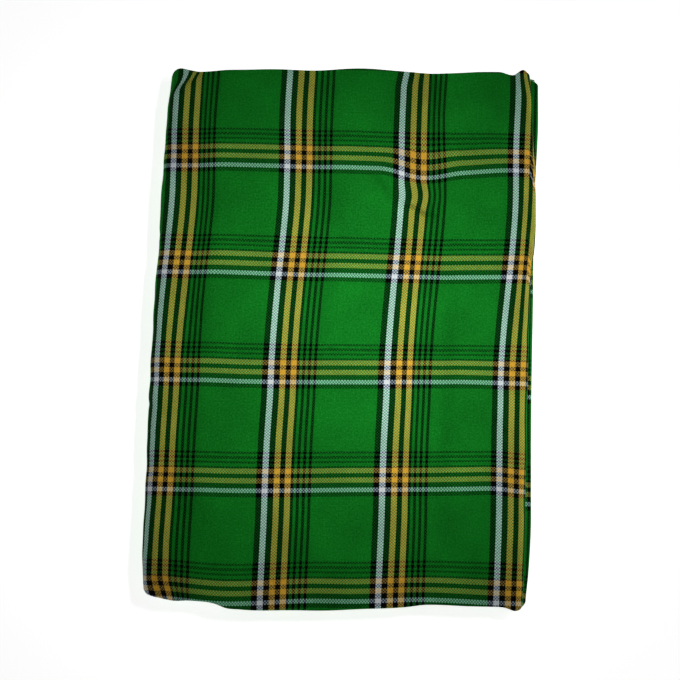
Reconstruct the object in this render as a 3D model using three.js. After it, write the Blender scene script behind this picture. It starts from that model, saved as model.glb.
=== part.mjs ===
// A shuka, a checked wrap cloth, folded into a flat bundle and laid on a table.
// Millimetres. +X to the right of the bundle, +Y to its back, +Z up.
// The origin is the middle of the bundle's footprint, on the surface that it lies on.
//
// The cloth is first folded in four across its width, which makes a strip of four plies.
// The strip is then halved three times along its length, which makes eight panels.
// Every solid is laid out in an even, square bundle, and settle() then gives that bundle
// its real outline and height, so that neighbours keep their gap.

import * as THREE from 'three';

const { clamp, lerp, smoothstep } = THREE.MathUtils;

// The square bundle, before it settles.
const PLY = 0.75; // one thickness of cloth, as it lies in the pile
const PLIES_PER_PANEL = 4;
const PANELS_IN_PILE = 8;
const PANEL = PLY * PLIES_PER_PANEL;
const PILE = PANEL * PANELS_IN_PILE;
const HALF_DEPTH = 178; // from the middle to the front or back folds
const LEFT = -127; // outermost line of the left turn
const RIGHT = 120; // outermost line of the upper right turn
const GAP = 0.3; // between neighbouring solids

// The turns of the strip: radius of the outer face, and height of the centre.
const LEFT_TURN = { radius: PILE / 2, height: PILE / 2 };
const UPPER_TURN = { radius: 2 * PANEL, height: 6 * PANEL };
const LOWER_TURN = { radius: PANEL, height: 3 * PANEL };
const RETURN = 8; // straight stretch of the outer strip behind the upper right turn
const LOWER_FOLD_BACK = RIGHT - UPPER_TURN.radius - 1; // where the lower fold meets the core
const UNDER_HEM = RIGHT - 5; // right end of the lowest panel
const SECOND_HEM = RIGHT - 2; // right end of the panel above it
const HEM_ROUND = 0.5;

// Outline at the sides, a row for each section from front to back:
// the left turn, the upper right turn, and how far the lower right turn stands past it.
const SIDES = [
  { y: -175, left: -124.4, right: 117.4, past: 3.0 },
  { y: -160, left: -126.0, right: 118.4, past: 3.8 },
  { y: -130, left: -125.9, right: 119.3, past: 4.5 },
  { y: -100, left: -125.7, right: 119.2, past: 4.5 },
  { y: -60, left: -125.8, right: 119.7, past: 3.6 },
  { y: -10, left: -125.3, right: 119.9, past: 3.3 },
  { y: 30, left: -124.4, right: 119.9, past: 3.6 },
  { y: 65, left: -123.3, right: 120.0, past: 3.9 },
  { y: 110, left: -122.7, right: 120.2, past: 4.4 },
  { y: 150, left: -121.4, right: 120.4, past: 5.6 },
  { y: 175, left: -119.0, right: 119.6, past: 6.2 },
];

// Outline at the front folds and at the back folds, from the left turn to the right ones.
const FRONT = [
  { x: -126.0, y: -162.0 },
  { x: -124.5, y: -168.5 },
  { x: -119.0, y: -172.2 },
  { x: -106.0, y: -173.7 },
  { x: -84.0, y: -175.0 },
  { x: -77.0, y: -176.4 },
  { x: -70.0, y: -178.7 },
  { x: -32.0, y: -179.3 },
  { x: 0.0, y: -177.9 },
  { x: 43.0, y: -174.9 },
  { x: 58.0, y: -173.3 },
  { x: 104.0, y: -173.4 },
  { x: 112.0, y: -174.6 },
  { x: 117.0, y: -173.0 },
  { x: 121.0, y: -168.5 },
];
const BACK = [
  { x: -122.0, y: 165.0 },
  { x: -120.0, y: 170.5 },
  { x: -117.0, y: 173.6 },
  { x: -106.0, y: 173.4 },
  { x: -99.0, y: 172.2 },
  { x: -76.0, y: 174.9 },
  { x: -20.0, y: 175.7 },
  { x: 12.0, y: 177.3 },
  { x: 52.0, y: 175.6 },
  { x: 99.0, y: 176.9 },
  { x: 108.0, y: 175.2 },
  { x: 115.0, y: 179.3 },
  { x: 119.0, y: 175.6 },
  { x: 124.0, y: 169.0 },
];

// How far the folded ends of each panel stand in from those of the top one, from the
// lowest panel up. wave is how unevenly a fold lies, and phase moves that along the fold.
const PANELS = [
  { front: 1.2, back: 1.0, wave: 0.5, phase: 0.4 },
  { front: 0.6, back: 2.2, wave: 0.8, phase: 2.1 },
  { front: 1.6, back: 0.8, wave: 0.7, phase: 4.0 },
  { front: 0.9, back: 1.7, wave: 0.6, phase: 5.2 },
  { front: 1.9, back: 0.6, wave: 0.8, phase: 1.0 },
  { front: 0.5, back: 1.9, wave: 0.6, phase: 3.1 },
  { front: 1.4, back: 1.1, wave: 0.7, phase: 0.2 },
  { front: 0.0, back: 0.0, wave: 0.0, phase: 0.0 },
];
const UNDER = 0;
const TOP = PANELS_IN_PILE - 1;
const UPPER_RETURN = 4; // the panel that the outer strip enters behind the upper right turn
const WAVE_LENGTH = 118;
const NOSE = 0.75; // height over which a panel's folded end rounds off
const GROOVE = 1.2; // depth of the groove between two folded ends

// Where the pile is lower than its full height: soft hollows in the top, and its sides.
const HOLLOWS = [
  { x: 42, y: 106, reachX: 34, reachY: 30, depth: 1.5 },
  { x: 74, y: -8, reachX: 24, reachY: 70, depth: 0.9 },
  { x: -20, y: -165, reachX: 70, reachY: 34, depth: 0.7 },
];
const SHOULDERS = {
  left: { reach: 40, depth: 2.4 },
  right: { reach: 24, depth: 0.9 },
  ends: { reach: 30, depth: 1.3 },
};

// Fineness of the solids, in cells.
const CELLS = { under: 8, leftTurn: 10, top: 20, upperTurn: 8, depth: 18, lowerTurn: 2 };

// Half thickness of the outer strip at its folded ends, which are half round.
const END_STATIONS = [0, 0.2, 0.7, 1.5]; // in from the end
const THINNEST = 0.25;

/** Value of a column of a table at one place, on a smooth curve through its rows. */
function along(table, key, place, column) {
  const last = table.length - 1;
  const at = clamp(place, table[0][key], table[last][key]);
  let row = 0;
  while (row < last - 1 && table[row + 1][key] < at) row += 1;
  const slope = (n) => {
    const before = table[Math.max(n - 1, 0)];
    const after = table[Math.min(n + 1, last)];
    return (after[column] - before[column]) / (after[key] - before[key]);
  };
  const width = table[row + 1][key] - table[row][key];
  const t = (at - table[row][key]) / width;
  const step = lerp(table[row][column], table[row + 1][column], t * t * (3 - 2 * t));
  return step + width * t * (1 - t) * ((1 - t) * slope(row) - t * slope(row + 1));
}

/** How much of a hollow or shoulder is left at a distance from its deepest place. */
function fade(distance, reach) {
  return 1 - smoothstep(distance, 0, reach);
}

/** Height of the settled pile at a place in the bundle. */
function heightAt(x, y) {
  let height = PILE;
  height -= SHOULDERS.left.depth * fade(x - LEFT, SHOULDERS.left.reach);
  height -= SHOULDERS.right.depth * fade(RIGHT - x, SHOULDERS.right.reach);
  height -= SHOULDERS.ends.depth * fade(HALF_DEPTH - Math.abs(y), SHOULDERS.ends.reach);
  for (const hollow of HOLLOWS) {
    const away = Math.hypot((x - hollow.x) / hollow.reachX, (y - hollow.y) / hollow.reachY);
    height -= hollow.depth * fade(away, 1);
  }
  return height;
}

/** A place in the square bundle, moved to where it lies in the settled one. */
function settle({ x, y, z }) {
  const left = along(SIDES, 'y', y, 'left');
  const right = along(SIDES, 'y', y, 'right');
  const within = Math.min(x, RIGHT);
  const settledX = lerp(left, right, (within - LEFT) / (RIGHT - LEFT)) + x - within;
  const front = along(FRONT, 'x', settledX, 'y');
  const back = along(BACK, 'x', settledX, 'y');
  const settledY = lerp(front, back, (y + HALF_DEPTH) / (2 * HALF_DEPTH));
  return new THREE.Vector3(settledX, settledY, (z * heightAt(x, y)) / PILE);
}

/** How far a panel's folded end stands in from the end of the square bundle. */
function endInset(panel, side, x) {
  const { wave, phase, [side]: inset } = PANELS[panel];
  const turned = side === 'front' ? phase : phase + Math.PI / 2;
  return inset + wave * Math.sin((2 * Math.PI * x) / WAVE_LENGTH + turned);
}

/**
 * Closed skin of a block of cells[0] by cells[1] by cells[2] cells.
 * place(i, j, k) says where each grid point on the block's outside lies in the square bundle.
 */
function skin(cells, place) {
  const positions = [];
  const numbers = new Map();
  const vertex = (grid) => {
    const name = grid.join();
    if (!numbers.has(name)) {
      numbers.set(name, numbers.size);
      positions.push(...settle(place(...grid)));
    }
    return numbers.get(name);
  };
  const index = [];
  for (const axis of [0, 1, 2]) {
    const u = (axis + 1) % 3;
    const v = (axis + 2) % 3;
    for (const side of [0, cells[axis]]) {
      for (let a = 0; a < cells[u]; a += 1) {
        for (let b = 0; b < cells[v]; b += 1) {
          const corners = [[0, 0], [1, 0], [1, 1], [0, 1]].map(([stepU, stepV]) => {
            const grid = [];
            grid[axis] = side;
            grid[u] = a + stepU;
            grid[v] = b + stepV;
            return vertex(grid);
          });
          if (side === 0) corners.reverse();
          const [p, q, r, s] = corners;
          index.push(p, q, r, p, r, s);
        }
      }
    }
  }
  const geometry = new THREE.BufferGeometry();
  geometry.setAttribute('position', new THREE.Float32BufferAttribute(positions, 3));
  geometry.setIndex(index);
  geometry.computeVertexNormals();
  return geometry;
}

/**
 * Middle line of the outer strip: its hem under the bundle, the left turn, the top,
 * and the upper right turn. Each point has the outward normal, and the two panels
 * whose folded ends it goes between.
 */
function outerLine() {
  const line = [];
  const half = PANEL / 2;
  const level = (x, z, nz, panel) => line.push({ x, z, nx: 0, nz, panel, next: panel, share: 0 });
  const straight = (from, to, cells, z, nz, panel) => {
    for (let i = 0; i < cells; i += 1) level(lerp(from, to, i / cells), z, nz, panel);
  };
  const turn = (x, { radius, height }, cells, sense, panel, next) => {
    for (let i = 0; i < cells; i += 1) {
      const share = i / cells;
      const nx = sense * Math.sin(Math.PI * share);
      const nz = sense * Math.cos(Math.PI * share);
      const reach = radius - half;
      line.push({ x: x + reach * nx, z: height + reach * nz, nx, nz, panel, next, share });
    }
  };
  const leftCentre = LEFT + LEFT_TURN.radius;
  const rightCentre = RIGHT - UPPER_TURN.radius;
  const returnHeight = UPPER_TURN.height - UPPER_TURN.radius + half;
  level(UNDER_HEM, half, -1, UNDER);
  straight(UNDER_HEM - HEM_ROUND, leftCentre, CELLS.under, half, -1, UNDER);
  turn(leftCentre, LEFT_TURN, CELLS.leftTurn, -1, UNDER, TOP);
  straight(leftCentre, rightCentre, CELLS.top, PILE - half, 1, TOP);
  turn(rightCentre, UPPER_TURN, CELLS.upperTurn, 1, TOP, UPPER_RETURN);
  level(rightCentre, returnHeight, -1, UPPER_RETURN);
  level(rightCentre - RETURN, returnHeight, -1, UPPER_RETURN);
  return line;
}

/** Outer strip: the stretch of cloth that shows on the top, the left side and underneath. */
function outerWrap() {
  const line = outerLine();
  const lineEnd = line.length - 1;
  const middle = END_STATIONS.length - 1;
  const cellsDeep = CELLS.depth + 2 * middle;
  const half = PANEL / 2;

  const stationAt = (j, front, back) => {
    if (j < middle) return front + END_STATIONS[j];
    if (j > cellsDeep - middle) return back - END_STATIONS[cellsDeep - j];
    const round = END_STATIONS[middle];
    return lerp(front + round, back - round, (j - middle) / CELLS.depth);
  };
  const halfThickness = (i, j) => {
    const fromEnd = END_STATIONS[Math.min(j, cellsDeep - j, middle)];
    const round = half * Math.sqrt(1 - ((half - fromEnd) / half) ** 2);
    return Math.max(i === 0 ? round - HEM_ROUND : round, THINNEST);
  };
  return skin([lineEnd, cellsDeep, 1], (i, j, k) => {
    const { x, z, nx, nz, panel, next, share } = line[i];
    const inset = (side) => lerp(endInset(panel, side, x), endInset(next, side, x), share);
    const y = stationAt(j, inset('front') - HALF_DEPTH, HALF_DEPTH - inset('back'));
    const out = halfThickness(i, j) * (2 * k - 1);
    return { x: x + out * nx, y, z: z + out * nz };
  });
}

/** Levels at which a stack of panels is sectioned: four for each panel, grooved between. */
function levelsOf(stack) {
  return stack.flatMap(({ panel, low, high, rightAt }) => [
    { z: low, panel, groove: GROOVE, rightAt },
    { z: low + NOSE, panel, groove: 0, rightAt },
    { z: high - NOSE, panel, groove: 0, rightAt },
    { z: high, panel, groove: GROOVE, rightAt },
  ]);
}

/** Place along the depth of a panel, from its folded front end to its folded back end. */
function depthAt({ panel, groove }, x, share) {
  const front = endInset(panel, 'front', x) + groove - HALF_DEPTH;
  const back = HALF_DEPTH - endInset(panel, 'back', x) - groove;
  return lerp(front, back, share);
}

/** Hidden layers as one solid, nested in the left turn and in the upper right turn. */
function foldedCore() {
  const toHem = () => SECOND_HEM;
  const toLowerFold = () => LOWER_FOLD_BACK - GAP;
  const toReturn = () => RIGHT - UPPER_TURN.radius - RETURN - GAP;
  const nested = (turn, z) => {
    const radius = turn.radius - PANEL - GAP;
    return Math.sqrt(Math.max(radius ** 2 - (z - turn.height) ** 2, 0));
  };
  const toUpperTurn = (z) => RIGHT - UPPER_TURN.radius + nested(UPPER_TURN, z);
  const leftAt = (z) => LEFT + LEFT_TURN.radius - nested(LEFT_TURN, z);
  // Where two panels end at different places, the step between them lies on the core's
  // own side of the line between them.
  const levels = levelsOf([
    { panel: 1, low: PANEL + GAP, high: 2 * PANEL - GAP, rightAt: toHem },
    { panel: 2, low: 2 * PANEL - GAP / 2, high: 3 * PANEL - GAP / 4, rightAt: toLowerFold },
    { panel: 3, low: 3 * PANEL + GAP / 4, high: 4 * PANEL - GAP, rightAt: toLowerFold },
    { panel: 4, low: 4 * PANEL - GAP / 2, high: 5 * PANEL + GAP / 2, rightAt: toReturn },
    { panel: 5, low: 5 * PANEL + GAP, high: 6 * PANEL - GAP / 4, rightAt: toUpperTurn },
    { panel: 6, low: 6 * PANEL + GAP / 4, high: 7 * PANEL - GAP, rightAt: toUpperTurn },
  ]);
  return skin([CELLS.top, CELLS.depth, levels.length - 1], (i, j, k) => {
    const level = levels[k];
    const x = lerp(leftAt(level.z), level.rightAt(level.z), i / CELLS.top);
    return { x, y: depthAt(level, x, j / CELLS.depth), z: level.z };
  });
}

/** Lower right turn: the folded end of the strip, standing out past the turn above it. */
function lowerFold() {
  const radius = LOWER_TURN.radius - GAP;
  const levels = levelsOf([
    { panel: 2, low: 2 * PANEL + GAP, high: 3 * PANEL - GAP / 4 },
    { panel: 3, low: 3 * PANEL + GAP / 4, high: 4 * PANEL - GAP },
  ]);
  return skin([CELLS.lowerTurn, CELLS.depth, levels.length - 1], (i, j, k) => {
    const level = levels[k];
    const y = depthAt(level, LOWER_FOLD_BACK, j / CELLS.depth);
    const centre = RIGHT + along(SIDES, 'y', y, 'past') - LOWER_TURN.radius;
    const nose = centre + Math.sqrt(Math.max(radius ** 2 - (level.z - LOWER_TURN.height) ** 2, 0));
    return { x: lerp(LOWER_FOLD_BACK, nose, i / CELLS.lowerTurn), y, z: level.z };
  });
}

/** A named piece of cloth. */
function cloth(name, geometry, color) {
  const material = new THREE.MeshStandardMaterial({ color, roughness: 0.85, metalness: 0 });
  const mesh = new THREE.Mesh(geometry, material);
  mesh.name = name;
  return mesh;
}

const shuka = new THREE.Group();
shuka.add(
  cloth('outer_wrap', outerWrap(), 0x14802a),
  cloth('lower_fold', lowerFold(), 0x0f6020),
  cloth('folded_core', foldedCore(), 0x125a20),
);

export default shuka;
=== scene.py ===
"""A folded check shuka: the looks of its cloth, and the studio that it lies in.

The cloth is one long strip of four plies, folded to and fro into eight panels. Each piece here is
a stretch of that strip, built as a swept wall with folded ends, on the form of the solids that it
stands for. Sizes inside the classes are millimetres, and meshes are written in metres.
"""

import logging
import math
from dataclasses import dataclass, field, replace
from enum import Enum

import bpy
import numpy as np
from mathutils import Matrix, Vector


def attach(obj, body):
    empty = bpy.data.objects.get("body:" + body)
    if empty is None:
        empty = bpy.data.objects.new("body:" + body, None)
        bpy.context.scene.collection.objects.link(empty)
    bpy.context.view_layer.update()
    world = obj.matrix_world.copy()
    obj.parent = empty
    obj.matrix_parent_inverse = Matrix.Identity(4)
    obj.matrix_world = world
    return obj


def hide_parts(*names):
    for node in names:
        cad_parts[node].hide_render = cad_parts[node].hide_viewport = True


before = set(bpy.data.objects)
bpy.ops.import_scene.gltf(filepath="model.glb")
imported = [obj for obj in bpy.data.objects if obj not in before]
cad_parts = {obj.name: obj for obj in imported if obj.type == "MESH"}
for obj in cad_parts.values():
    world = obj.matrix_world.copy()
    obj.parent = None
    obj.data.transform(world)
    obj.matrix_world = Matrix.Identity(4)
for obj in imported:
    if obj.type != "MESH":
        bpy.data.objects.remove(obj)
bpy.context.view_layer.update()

LOG = logging.getLogger("shuka")
MM = 0.001
ROOT = "root"
UV_NAME = "cloth"


# --------------------------------------------------------------------------- tables and curves


@dataclass(frozen=True)
class Curve:
    """A smooth curve through a short table of places and values.

    Args:
        rows: pairs of place and value, in rising order of place.
    """

    rows: tuple[tuple[float, float], ...]

    def at(self, place: np.ndarray) -> np.ndarray:
        """Values at the given places; past its ends the curve keeps its end values.

        Args:
            place: where to read the curve.

        Returns:
            An array of the same shape as place.
        """
        xs, ys = np.array(self.rows, dtype=float).T
        ahead = np.minimum(np.arange(len(xs)) + 1, len(xs) - 1)
        behind = np.maximum(np.arange(len(xs)) - 1, 0)
        slopes = (ys[ahead] - ys[behind]) / (xs[ahead] - xs[behind])
        where = np.clip(place, xs[0], xs[-1])
        row = np.clip(np.searchsorted(xs, where, side="left") - 1, 0, len(xs) - 2)
        width = xs[row + 1] - xs[row]
        t = (where - xs[row]) / width
        step = ys[row] + (ys[row + 1] - ys[row]) * t * t * (3 - 2 * t)
        return step + width * t * (1 - t) * ((1 - t) * slopes[row] - t * slopes[row + 1])


def fade(distance: np.ndarray, reach: float) -> np.ndarray:
    """One at no distance, falling smoothly to nothing at the reach."""
    t = np.clip(distance / reach, 0.0, 1.0)
    return 1 - t * t * (3 - 2 * t)


# --------------------------------------------------------------------------- the folded bundle


@dataclass(frozen=True)
class Panel:
    """How one panel's folded ends lie against those of the top one, in millimetres.

    Args:
        front, back: how far they stand in at the front and at the back.
        wave, phase: height of their slow wave, and where it begins, in radians.
    """

    front: float
    back: float
    wave: float
    phase: float


@dataclass(frozen=True)
class Hollow:
    """A soft place in the pile where it lies lower.

    Args:
        x, y: its middle.
        reach_x, reach_y: how far it reaches across and along.
        depth: how much lower its middle lies.
    """

    x: float
    y: float
    reach_x: float
    reach_y: float
    depth: float


@dataclass(frozen=True)
class Bundle:
    """The pile of folded cloth: its even, square form, and how it settles into its real one.

    These are the sizes of the solids of the frame, so that each piece lies on its own solid.

    Args:
        panel, pile: height of one panel and of them all.
        half_depth: half of the length between the folded ends.
        left, right: the sides of the square bundle.
        gap: space between pieces that lie on each other.
        left_turn: radius of the outer turn on the left.
        upper_turn, upper_turn_height: radius and middle of the upper turn on the right.
        lower_turn, lower_turn_height: the same for the lower one.
        upper_return: how far the cloth goes in again after the upper turn.
        under_hem, second_hem: where the strip's two ends lie.
        wave_length: length of the slow wave of the folded ends.
        left_edge, right_edge: where the sides lie, by place along.
        past_edge: how far the lower fold stands past the right side, by place along.
        front_edge, back_edge: where the ends lie, by place across.
        panels, hollows: how the panels end, and where the pile lies lower.
        left_shoulder, right_shoulder, end_shoulder: reach and depth of the slope at each side.
    """

    panel: float = 3.0
    pile: float = 24.0
    half_depth: float = 178.0
    left: float = -127.0
    right: float = 120.0
    gap: float = 0.3
    left_turn: float = 12.0
    upper_turn: float = 6.0
    upper_turn_height: float = 18.0
    lower_turn: float = 3.0
    lower_turn_height: float = 9.0
    upper_return: float = 8.0
    under_hem: float = 115.0
    second_hem: float = 118.0
    wave_length: float = 118.0
    left_edge: Curve = Curve(
        (
            (-175, -124.4), (-160, -126.0), (-130, -125.9), (-100, -125.7), (-60, -125.8),
            (-10, -125.3), (30, -124.4), (65, -123.3), (110, -122.7), (150, -121.4),
            (175, -119.0),
        )
    )
    right_edge: Curve = Curve(
        (
            (-175, 117.4), (-160, 118.4), (-130, 119.3), (-100, 119.2), (-60, 119.7),
            (-10, 119.9), (30, 119.9), (65, 120.0), (110, 120.2), (150, 120.4), (175, 119.6),
        )
    )
    past_edge: Curve = Curve(
        (
            (-175, 3.0), (-160, 3.8), (-130, 4.5), (-100, 4.5), (-60, 3.6), (-10, 3.3),
            (30, 3.6), (65, 3.9), (110, 4.4), (150, 5.6), (175, 6.2),
        )
    )
    front_edge: Curve = Curve(
        (
            (-126.0, -162.0), (-124.5, -168.5), (-119.0, -172.2), (-106.0, -173.7),
            (-84.0, -175.0), (-77.0, -176.4), (-70.0, -178.7), (-32.0, -179.3), (0.0, -177.9),
            (43.0, -174.9), (58.0, -173.3), (104.0, -173.4), (112.0, -174.6), (117.0, -173.0),
            (121.0, -168.5),
        )
    )
    back_edge: Curve = Curve(
        (
            (-122.0, 165.0), (-120.0, 170.5), (-117.0, 173.6), (-106.0, 173.4), (-99.0, 172.2),
            (-76.0, 174.9), (-20.0, 175.7), (12.0, 177.3), (52.0, 175.6), (99.0, 176.9),
            (108.0, 175.2), (115.0, 179.3), (119.0, 175.6), (124.0, 169.0),
        )
    )
    panels: tuple[Panel, ...] = (
        Panel(1.2, 1.0, 0.5, 0.4),
        Panel(0.6, 2.2, 0.8, 2.1),
        Panel(1.6, 0.8, 0.7, 4.0),
        Panel(0.9, 1.7, 0.6, 5.2),
        Panel(1.9, 0.6, 0.8, 1.0),
        Panel(0.5, 1.9, 0.6, 3.1),
        Panel(1.4, 1.1, 0.7, 0.2),
        Panel(0.0, 0.0, 0.0, 0.0),
    )
    hollows: tuple[Hollow, ...] = (
        Hollow(42, 106, 34, 30, 1.5),
        Hollow(74, -8, 24, 70, 0.9),
        Hollow(-20, -165, 70, 34, 0.7),
    )
    left_shoulder: tuple[float, float] = (40.0, 2.4)
    right_shoulder: tuple[float, float] = (24.0, 0.9)
    end_shoulder: tuple[float, float] = (30.0, 1.3)

    @property
    def left_centre(self) -> float:
        """Place across the bundle where the left turn begins."""
        return self.left + self.left_turn

    @property
    def right_centre(self) -> float:
        """Place across the bundle where the upper right turn begins."""
        return self.right - self.upper_turn

    @property
    def lower_fold_back(self) -> float:
        """Place across the bundle where the lower fold meets the hidden layers."""
        return self.right_centre - 1.0

    def height(self, x: np.ndarray, y: np.ndarray) -> np.ndarray:
        """Height of the settled pile at places in the square one."""
        height = np.full(np.shape(x), self.pile)
        for distance, (reach, depth) in (
            (x - self.left, self.left_shoulder),
            (self.right - x, self.right_shoulder),
            (self.half_depth - np.abs(y), self.end_shoulder),
        ):
            height = height - depth * fade(distance, reach)
        for dip in self.hollows:
            away = np.hypot((x - dip.x) / dip.reach_x, (y - dip.y) / dip.reach_y)
            height = height - dip.depth * fade(away, 1.0)
        return height

    def across(self, x: np.ndarray, y: np.ndarray) -> np.ndarray:
        """Settled place across the bundle, also for places unrolled past its sides."""
        left = self.left_edge.at(y)
        right = self.right_edge.at(y)
        return left + (right - left) * (x - self.left) / (self.right - self.left)

    def settle(self, x: np.ndarray, y: np.ndarray, z: np.ndarray) -> tuple[np.ndarray, ...]:
        """Moves places in the square bundle to where they lie in the settled one.

        Args:
            x, y, z: places in the square bundle.

        Returns:
            The settled x, y and z.
        """
        within = np.minimum(x, self.right)
        settled_x = self.across(within, y) + x - within
        front = self.front_edge.at(settled_x)
        back = self.back_edge.at(settled_x)
        settled_y = front + (back - front) * (y + self.half_depth) / (2 * self.half_depth)
        return settled_x, settled_y, z * self.height(x, y) / self.pile

    def inset(self, number: int, side: str, x: np.ndarray) -> np.ndarray:
        """How far a panel's folded end stands in from the end of the square bundle."""
        panel = self.panels[number]
        depth, turned = (panel.front, 0.0) if side == "front" else (panel.back, math.pi / 2)
        return depth + panel.wave * np.sin(2 * math.pi * x / self.wave_length + panel.phase + turned)


# --------------------------------------------------------------------------- the cloth's lie


# How close to a line's ends its taper is read, and how flat the taper's middle is.
TAPER_END = 0.02
TAPER_POWER = 0.6


def beside(
    line: tuple[tuple[float, float], ...], x: np.ndarray, y: np.ndarray
) -> tuple[np.ndarray, ...]:
    """Where places lie beside a line of points.

    Args:
        line: the points that the line runs through, from end to end.
        x, y: the places.

    Returns:
        The distance from the line, a number that is positive on its right side, looking along
        it, and a taper that is one in its middle and falls to nothing at its ends.
    """
    nearest = np.full(np.shape(x), np.inf)
    side = np.zeros(np.shape(x))
    taper = np.zeros(np.shape(x))
    points = np.array(line, dtype=float)
    lengths = np.hypot(*np.diff(points, axis=0).T)
    total = lengths.sum()
    start = 0.0
    for (x0, y0), (x1, y1), length in zip(points[:-1], points[1:], lengths):
        ux, uy = (x1 - x0) / length, (y1 - y0) / length
        along = np.clip((x - x0) * ux + (y - y0) * uy, 0, length)
        across = (x - x0) * uy - (y - y0) * ux
        away = np.hypot(x - x0 - along * ux, y - y0 - along * uy)
        closer = away < nearest
        nearest = np.where(closer, away, nearest)
        side = np.where(closer, across, side)
        share = np.clip((start + along) / total, TAPER_END, 1 - TAPER_END)
        taper = np.where(closer, np.sin(math.pi * share) ** TAPER_POWER, taper)
        start += length
    return nearest, side, taper


@dataclass(frozen=True)
class Crease:
    """A soft trough or ridge in the top of the bundle, along a curved line.

    Args:
        line: the points that it runs through, from end to end.
        width: how far its slopes reach to either side.
        lift: height of the ridge, or depth of the trough where it is negative.
    """

    line: tuple[tuple[float, float], ...]
    width: float
    lift: float

    def at(self, x: np.ndarray, y: np.ndarray) -> np.ndarray:
        """Height that the crease adds at the given places."""
        away, _, taper = beside(self.line, x, y)
        return self.lift * taper * np.exp(-((2 * away / self.width) ** 2))


@dataclass(frozen=True)
class Ledge:
    """A place where a fold underneath lifts the cloth on one side of a line.

    Args:
        line: the foot of the slope; it rises to the left side, looking along the line.
        width: how far the slope reaches.
        rise: its height.
        spread: how far it takes until the cloth lies level again on both sides.
    """

    line: tuple[tuple[float, float], ...]
    width: float
    rise: float
    spread: float

    def at(self, x: np.ndarray, y: np.ndarray) -> np.ndarray:
        """Height that the ledge adds at the given places."""
        away, side, taper = beside(self.line, x, y)
        up = 1 - fade(np.where(side > 0, -away, away), self.width)
        past = np.maximum(away - np.where(side > 0, 0.0, self.width), 0.0)
        return self.rise * taper * (up - 0.5) * np.exp(-((past / self.spread) ** 2))


@dataclass(frozen=True)
class Relief:
    """Creases and unevenness of the cloth's face, on top of how the whole pile settles.

    Args:
        creases: the creases and ledges, each given one by one.
        deepest: how far the face can lie under its level, which is less than the wall's thickness.
        seed: makes the ripples their own.
        ripples: number of the small waves.
        ripple_lift: height of each.
        ripple_length: shortest and longest of them.
    """

    creases: tuple[Crease | Ledge, ...] = ()
    deepest: float = 2.5
    seed: int = 7
    ripples: int = 26
    ripple_lift: float = 0.05
    ripple_length: tuple[float, float] = (16.0, 60.0)

    def at(self, x: np.ndarray, y: np.ndarray) -> np.ndarray:
        """Height in millimetres that the relief adds at settled places."""
        lift = np.zeros(np.shape(x))
        for crease in self.creases:
            lift = lift + crease.at(x, y)
        lift = np.where(lift < 0, self.deepest * np.tanh(lift / self.deepest), lift)
        random = np.random.default_rng(self.seed)
        for _ in range(self.ripples):
            turned = random.uniform(0, math.pi)
            length = random.uniform(*self.ripple_length)
            phase = random.uniform(0, 2 * math.pi)
            run = x * math.cos(turned) + y * math.sin(turned)
            lift = lift + self.ripple_lift * np.sin(2 * math.pi * run / length + phase)
        return lift


@dataclass(frozen=True)
class Drag:
    x: float
    y: float
    reach_x: float
    reach_y: float
    across: float
    along: float

    def share(self, x: np.ndarray, y: np.ndarray) -> np.ndarray:
        """How much of the pull is felt at the given places."""
        return fade(np.hypot((x - self.x) / self.reach_x, (y - self.y) / self.reach_y), 1.0)


@dataclass(frozen=True)
class Tuck:
    """A sharp crease with the cloth past it folded a little under, so the check jumps there.

    Args:
        start, stop: ends of the crease; the tucked cloth is on its left, looking along it.
        blend: distance over which the check goes over.
        reach: how far past the ends of the crease the jump fades away.
        across, along: how far the check has jumped.
    """

    start: tuple[float, float]
    stop: tuple[float, float]
    blend: float
    reach: float
    across: float
    along: float

    def share(self, x: np.ndarray, y: np.ndarray) -> np.ndarray:
        """How much of the jump is felt at the given places."""
        (x0, y0), (x1, y1) = self.start, self.stop
        length = math.hypot(x1 - x0, y1 - y0)
        ux, uy = (x1 - x0) / length, (y1 - y0) / length
        along = (x - x0) * ux + (y - y0) * uy
        left = (y - y0) * ux - (x - x0) * uy
        past = np.maximum(-along, along - length)
        return (1 - fade(left + self.blend / 2, self.blend)) * fade(past, self.reach)


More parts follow.
